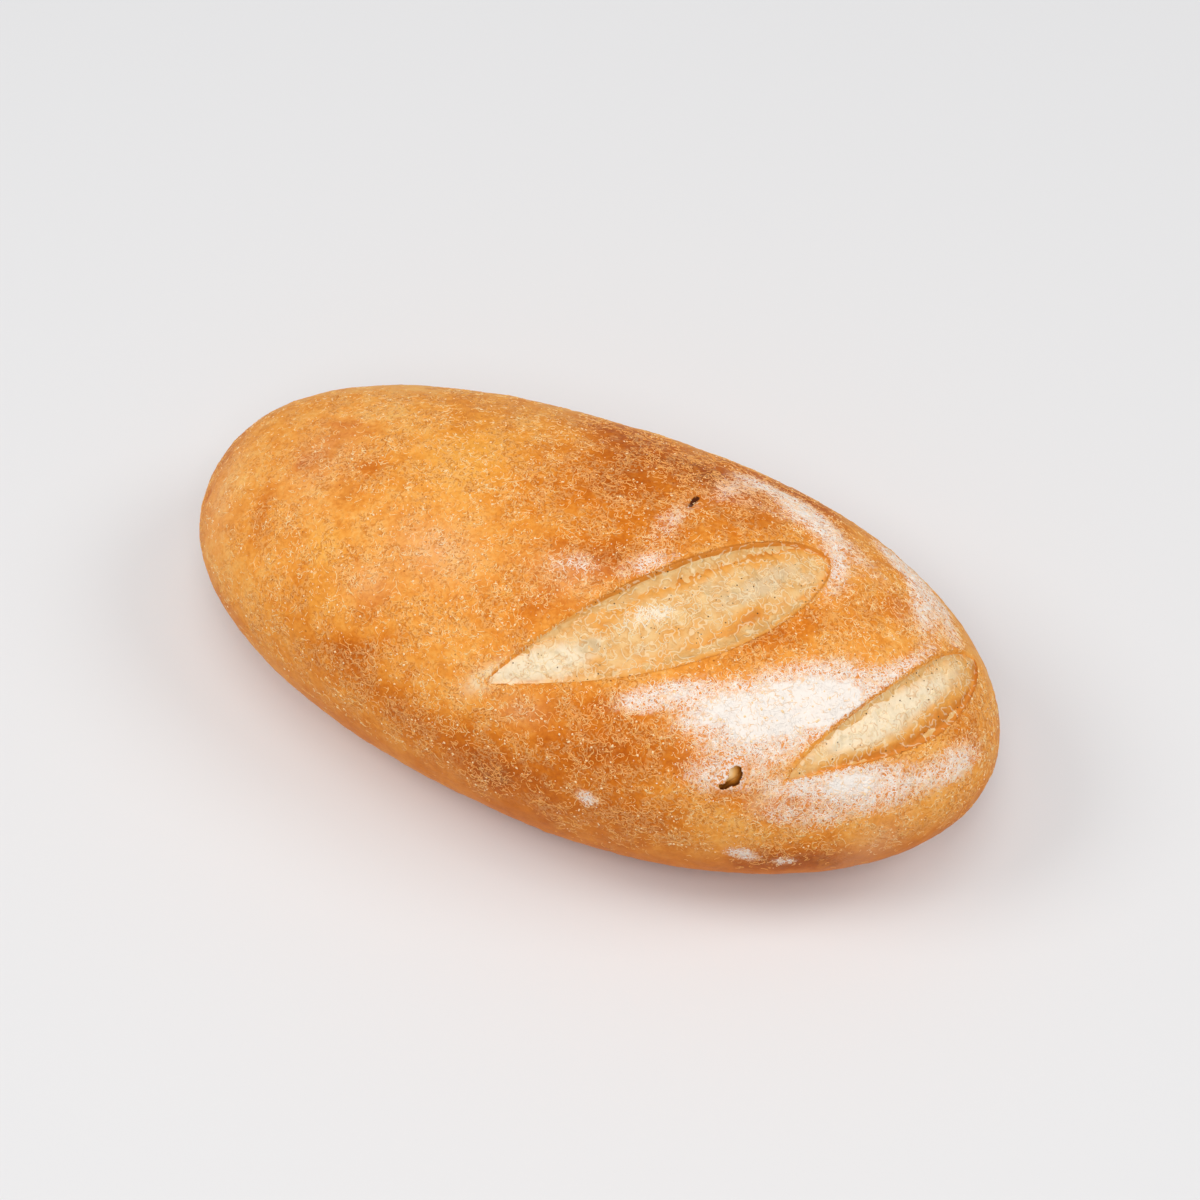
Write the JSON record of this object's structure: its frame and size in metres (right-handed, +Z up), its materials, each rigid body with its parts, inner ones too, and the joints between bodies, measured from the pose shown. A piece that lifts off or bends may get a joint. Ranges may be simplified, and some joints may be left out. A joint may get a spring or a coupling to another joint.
{
  "type": "bread roll",
  "caption": "Oval crusty bread roll with a rounded crown, a flat sole, opened diagonal slashes and a burst blister.",
  "frame": {"origin": "on the floor under the middle of the roll, where its sole rests", "axes": "+X along the roll towards the slashed end, +Y across it towards the side where the slashes end, +Z up through the crown"},
  "size_m": [0.175, 0.088, 0.0585],
  "materials": {
    "crust": "dry baked crust, dull, dusted with flour",
    "crumb": "moist, slightly translucent bloom of the opened slashes, toasted in places",
    "flour": "loose matt flour"
  },
  "bodies": {
    "root": {"roll": "crust"}
  },
  "joints": []
}
